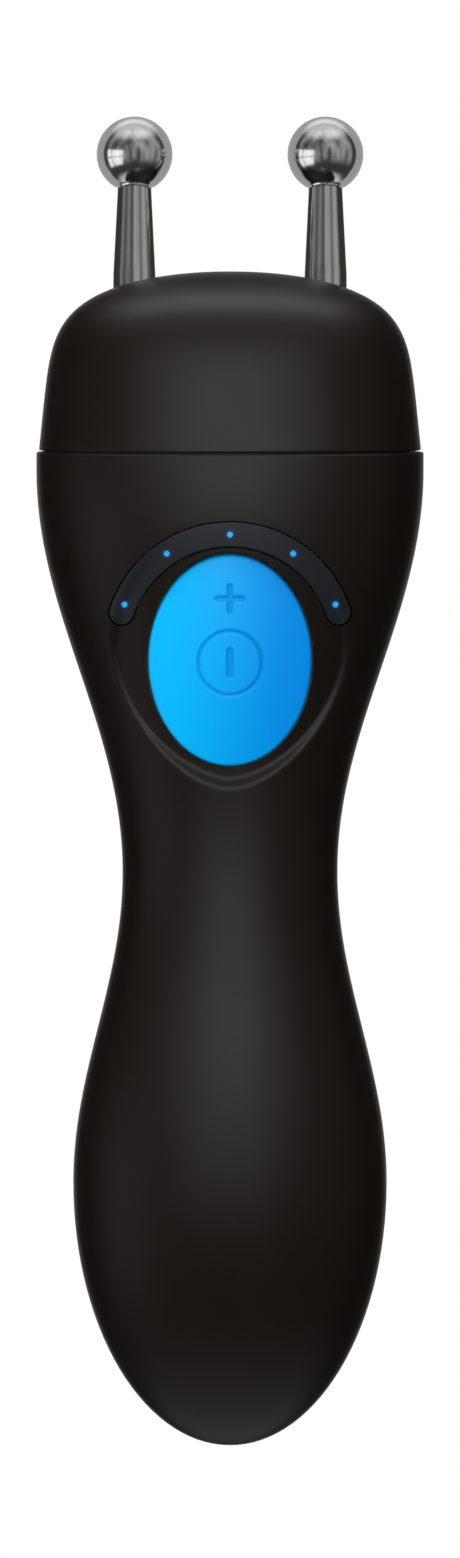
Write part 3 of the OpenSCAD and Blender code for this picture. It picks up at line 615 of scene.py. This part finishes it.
def make_head_cap():
    """The domed cap, bored for the two stems."""
    outer, inner = crown_rows(90, 0, CAP_EDGE), crown_rows(90, WALL, 0)
    n = min(len(outer), len(inner))
    outer, inner = outer[-n:], inner[-n:]
    outer[0], inner[0] = (Z_TOP, 0), (Z_TOP - WALL, WALL)
    points, faces = wall(outer, inner, np.linspace(0, -360, 241)[:-1], ring=True)
    piece = new_piece("domed_cap", points, faces, SOFT_BLACK, "housing")
    bore, reach_out = STEM_BASE_D / 2 + 0.05, 9
    outline = [(0, -reach_out), (bore, -reach_out), (bore, reach_out), (0, reach_out)]
    for side in (-1, 1):
        points, faces = revolve(outline, probe_place(side)[0])
        cutter = new_piece("cut", points, faces, None, None)
        outward(cutter)
        carve(piece, cutter, "DIFFERENCE")
    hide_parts("head_cap")
    return piece


# ---------------------------------------------------------------- the controls
def disc_grid(n):
    """A square grid of n by n points pressed into the unit disc."""
    u, v = np.meshgrid(np.linspace(-1, 1, n), np.linspace(-1, 1, n), indexing="ij")
    return u * np.sqrt(1 - v ** 2 / 2), v * np.sqrt(1 - u ** 2 / 2)


PLUS_Z, PLUS_ARM, PLUS_T = 35.0, 3.9, 0.75
RING_Z, RING_D, RING_T, BAR_H, BAR_T = 26.8, 8.6, 0.45, 4.0, 0.95
SIGN_DEPTH, SIGN_SOFT = 0.25, 0.4


def bar_distance(along, across, length, thick):
    """Distance outside a bar with round ends, negative inside it."""
    return np.hypot(np.maximum(np.abs(along) - (length - thick) / 2, 0), across) - thick / 2


def sign_depth(x, z):
    """Depth of the sunk signs, a plus and a ring with an upright bar, with hollow floors."""
    plus = np.minimum(bar_distance(x, z - PLUS_Z, PLUS_ARM, PLUS_T),
                      bar_distance(z - PLUS_Z, x, PLUS_ARM, PLUS_T))
    ring = np.abs(np.hypot(x, z - RING_Z) - (RING_D - RING_T) / 2) - RING_T / 2
    bar = bar_distance(z - RING_Z, x, BAR_H, BAR_T)
    return SIGN_DEPTH * ease(0.35 - np.minimum(np.minimum(plus, ring), bar) / SIGN_SOFT)


BUTTON_PROUD = 0.7  # how far the face's middle stands out from half the dish's depth
BUTTON_FACE = float(front_y(np.float64(0), np.float64(BUTTON_Z), 0)) + DISH_DEPTH / 2 - BUTTON_PROUD
BUTTON_CROWN = (29.0, 20.0, 44.0)
BUTTON_TILT, BUTTON_EDGE, BUTTON_BACK = math.radians(7), 0.4, -9.0


def button_y(x, z):
    """Depth of the button's face: an ellipsoid turned about X by the tilt, solved for its front."""
    rx, ry, rz = BUTTON_CROWN
    c, s = math.cos(BUTTON_TILT), math.sin(BUTTON_TILT)
    h = z - BUTTON_Z
    qa = (c / ry) ** 2 + (s / rz) ** 2
    qb = 2 * h * c * s * (1 / ry ** 2 - 1 / rz ** 2)
    qc = (h * s / ry) ** 2 + (h * c / rz) ** 2 + (x / rx) ** 2 - 1
    return BUTTON_FACE + ry + (-qb - np.sqrt(qb ** 2 - 4 * qa * qc)) / (2 * qa)


def make_button():
    """The oval button: crowned face with a rounded edge and sunk signs, skirt and back."""
    n = 261
    u, v = disc_grid(n)
    x, z = BUTTON_W / 2 * u, BUTTON_Z + BUTTON_H / 2 * v
    r = np.hypot(u, v)
    inside = np.hypot(x, z - BUTTON_Z) * (1 / np.maximum(r, 1e-6) - 1)
    inside[r < 0.5] = BUTTON_W
    signs = sign_depth(x, z)
    y = button_y(x, z) + rounded(inside, BUTTON_EDGE) + signs
    face = np.stack([x, y, z], -1).reshape(-1, 3)
    index = np.arange(n * n).reshape(n, n)
    loop = np.concatenate([index[:-1, 0], index[-1, :-1], index[:0:-1, -1], index[0, :0:-1]])
    back = face[loop].copy()
    back[:, 1] = BUTTON_BACK
    m, start = len(loop), n * n
    faces = grid_faces(n, n, False)
    faces += [[int(loop[k]), start + k, start + (k + 1) % m, int(loop[(k + 1) % m])]
              for k in range(m)]
    faces.append(list(range(start, start + m))[::-1])
    points = np.concatenate([face, back])
    piece = new_piece("oval_button", points, faces, BLUE, "power_button", merge=False)
    outward(piece)
    # Each point's share of the signs' depth, which the blue material turns into painted shade in the
    # grooves.
    sunk = piece.data.attributes.new("sunk", "FLOAT", "POINT")
    sunk.data.foreach_set("value", np.concatenate([signs.ravel() / SIGN_DEPTH, np.zeros(m)]))
    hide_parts("button_cap")
    return piece


WINDOW_GAP, WINDOW_SUNK, WINDOW_T = 0.13, 0.12, 1.8
# The strip's edge: shares of the way out from the middle line, and the drop at each
EDGE_SHARES, EDGE_DROPS = (1, 1, 1, 1 - 0.02, 1 - 0.05, 1 - 0.09), (WINDOW_T, 0.6, 0.18, 0.09, 0.03, 0.0)


def make_window():
    """The smoked strip: its outline filled by rings that shrink to the arc's middle line."""
    rim = arc_outline(-WINDOW_GAP, 160)
    ends = math.radians(ARC_START), math.radians(180 - ARC_START)
    turn = np.clip(np.arctan2(rim[:, 1] - ARC_Z, rim[:, 0]), *ends)
    spine = np.stack([ARC_R * np.cos(turn), ARC_Z + ARC_R * np.sin(turn)], -1)
    shares = np.concatenate([EDGE_SHARES, np.linspace(0.85, 0, 8)])
    drops = np.concatenate([EDGE_DROPS, np.zeros(8)])
    rings = []
    for share, drop in zip(shares, drops):
        p = spine + (rim - spine) * share
        rings.append(np.stack([p[:, 0], front_y(p[:, 0], p[:, 1], WINDOW_SUNK) + drop, p[:, 1]], -1))
    points, faces = np.concatenate(rings), grid_faces(len(rings), len(rim), True)
    faces.append(list(range(len(rim))))
    piece = new_piece("light_window", points, faces, SMOKED, "housing")
    outward(piece)
    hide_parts("indicator_window")
    return piece


# ---------------------------------------------------------------- the probes
def probe_place(side):
    """Maps points on a probe's own axis, leaning back from the crown, to the frame."""
    x = side * BALL_APART / 2
    share = math.hypot(BALL_APART / 2 / (HALF_W[2] - 2.5), PROBE_BACK / (HALF_D[2] - 2.5))
    z = Z_SEAM + CAP_H * (1 - share ** 2) ** (1 / CROWN_POWER)
    y = float(centre(np.float64(Z_TOP))) + PROBE_BACK
    lean = math.radians(PROBE_LEAN)
    up = np.array([0, math.sin(lean), math.cos(lean)])
    out = np.array([0, math.cos(lean), -math.sin(lean)])

    def place(p):
        return np.array([x, y, z]) + p[:, :1] * [1, 0, 0] + p[:, 1:2] * out + p[:, 2:] * up

    return place, (Z_TOP + BALL_UP - z) / math.cos(lean)


def make_probes():
    """Ball and stem of each probe as turned outlines, with a small fillet where they meet."""
    balls, stems = [], []
    for side, word in ((-1, "left"), (1, "right")):
        place, ball_at = probe_place(side)
        r, neck = BALL_D / 2, STEM_TOP_D / 2
        fillet = BALL_FILLET
        meet = math.acos((neck + fillet) / (r + fillet))
        low = ball_at - (r + fillet) * math.sin(meet)
        ball = [(r * math.cos(a), ball_at + r * math.sin(a)) for a in np.linspace(math.pi / 2, -meet, 90)]
        curl = [(neck + fillet - fillet * math.cos(a), low + fillet * math.sin(a))
                for a in np.linspace(meet, 0, 8)]
        seat = [(neck - 0.2, low), (0.0, low)]
        points, faces = revolve(ball + curl + seat, place)
        piece = new_piece("contact_ball_" + word, points, faces, CHROME, "housing")
        outward(piece)
        balls.append(piece)
        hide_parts("probe_ball_" + word)
        base = STEM_BASE_D / 2
        shoulder = STEM_GAP + STEM_BREAK
        stem = [(0, low - STEM_GAP), (neck - STEM_BREAK, low - STEM_GAP), (neck, low - shoulder)]
        stem += [(neck + (base - neck) * k / 20, low - shoulder + (STEM_PARALLEL - low + shoulder) * k / 20)
                 for k in range(1, 21)]
        stud, tip = STUD_D / 2, STUD_END + STUD_BREAK
        stem += [(base, STEM_SHOULDER), (stud, STEM_SHOULDER), (stud, tip),
                 (stud - STUD_BREAK, STUD_END), (0, STUD_END)]
        points, faces = revolve(stem, place)
        piece = new_piece("turned_stem_" + word, points, faces, CHROME, "housing")
        outward(piece)
        stems.append(piece)
        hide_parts("probe_stem_" + word)
    return balls, stems


make_rear_casing()
make_battery_door()
BALLS, STEMS = make_probes()
PROBES = BALLS + STEMS
FRONT = [make_head_cap(), make_front_shell(), make_button(), make_window()] + PROBES


# ---------------------------------------------------------------- stage, light and camera
def stage_floor():
    """A pale round floor well below the body, which fades out into the background."""
    floor_z, radius = -400.0, 450.0
    t = np.linspace(0, 2 * np.pi, 96, endpoint=False)
    points = [(radius * math.cos(a), radius * math.sin(a), floor_z) for a in t]
    piece = new_piece("floor", points, [list(range(96))], None, None)
    p = Paint("floor", Roughness=0.9, IOR=1.1)
    x, y, _ = p.axes()
    piece.data.materials.append(p.set(
        Base_Color=p.mix(p.noise(30), (0.88, 0.88, 0.88, 1), (0.9, 0.9, 0.9, 1)),
        Alpha=(x * x + y * y).op("SQRT").step(radius * 0.97, radius * 0.3)))


def studio_world():
    """A studio by direction of view: white where the camera looks and in mirrors of what lies
    straight behind the object, a grey room with upright streaks in front, a window to the left
    and a pale ceiling."""
    world = bpy.data.worlds.new("studio")
    bpy.context.scene.world = world
    world.use_nodes = True
    w = Nodes(world.node_tree, "Generated")
    x, y, z = w.axes()
    stretch = w.node("ShaderNodeMapping", {}, {"Vector": w.place, "Scale": (3.2, 3.2, 0.7)})
    streaks = w.node("ShaderNodeTexNoise", {}, {"Vector": stretch.out("Vector"), "Scale": 1.0,
                     "Detail": 2.0}).out("Fac")
    room = 0.05 + streaks.step(0.3, 0.75) * y.step(0.15, -0.25) * z.step(-0.55, -0.1) * 0.5
    bars = (z + 0.12).op("ABSOLUTE").step(0.012, 0.03) * (y + 0.3).op("ABSOLUTE").step(0.012, 0.03)
    window = x.step(-0.5, -0.62) * y.step(0.0, -0.06) * z.step(-0.52, -0.46) * z.step(0.22, 0.16) * bars
    path = w.node("ShaderNodeLightPath", {}, {})
    mirrored = path.out("Is Glossy Ray").op("MAXIMUM", path.out("Is Transmission Ray")) * y.step(0.9, 0.985)
    ceiling = z.step(0.6, 0.9) * 0.7
    level = (room + window * 1.2 + ceiling).op("MAXIMUM", mirrored)
    level = level.op("MAXIMUM", path.out("Is Camera Ray"))
    back = w.tree.nodes["Background"]
    back.inputs["Color"].default_value = (1, 1, 1, 1)
    w.feed(back.inputs["Strength"], level)


def soft_box(name, place, aim, width, height, power, state, pieces):
    """A rectangular lamp at place that faces aim, in metres and watts. It lights the given
    pieces alone where state is INCLUDE, and everything but them where state is EXCLUDE."""
    lamp = bpy.data.lights.new(name, "AREA")
    lamp.shape, lamp.size, lamp.size_y, lamp.energy = "RECTANGLE", width, height, power
    holder = bpy.data.objects.new(name, lamp)
    bpy.context.scene.collection.objects.link(holder)
    holder.location = place
    holder.rotation_euler = (Vector(aim) - Vector(place)).to_track_quat("-Z", "Y").to_euler()
    holder.visible_camera = False
    chosen = bpy.data.collections.new(name)
    for piece in pieces:
        chosen.objects.link(piece)
    holder.light_linking.receiver_collection = chosen
    for entry in chosen.collection_objects:
        entry.light_linking.link_state = state


def camera():
    """A long lens level with the middle of the photograph's frame."""
    height_seen, lens, sensor = 0.2008, 350.0, 36.0
    data = bpy.data.cameras.new("camera")
    data.lens, data.sensor_width, data.clip_start = lens, sensor, 0.05
    holder = bpy.data.objects.new("camera", data)
    bpy.context.scene.collection.objects.link(holder)
    holder.location = (0, -height_seen * lens / sensor, 0.01195)
    holder.rotation_euler = (math.pi / 2, 0, 0)
    bpy.context.scene.camera = holder


stage_floor()
studio_world()
soft_box("front_box", (0.0, -1.3, 0.3), (0, 0, 0.0), 0.2, 0.8, 6.3, "EXCLUDE", PROBES)
soft_box("brow_box", (0.0, -1.0, 0.6), (0, 0, 0.06), 1.2, 0.2, 6, "EXCLUDE", PROBES)
soft_box("top_box", (0.0, 0.12, 0.95), (0, 0, 0.05), 0.9, 0.4, 5.4, "EXCLUDE", PROBES)
soft_box("probe_card", (0.0, 0.12, 0.13), (0, 0, 0.13), 0.8, 0.6, 0.65, "INCLUDE", BALLS)
soft_box("back_box", (0.35, 1.2, 0.35), (0, 0, 0), 0.5, 0.9, 12, "EXCLUDE", FRONT)
camera()
bpy.context.scene.view_settings.view_transform = "Standard"
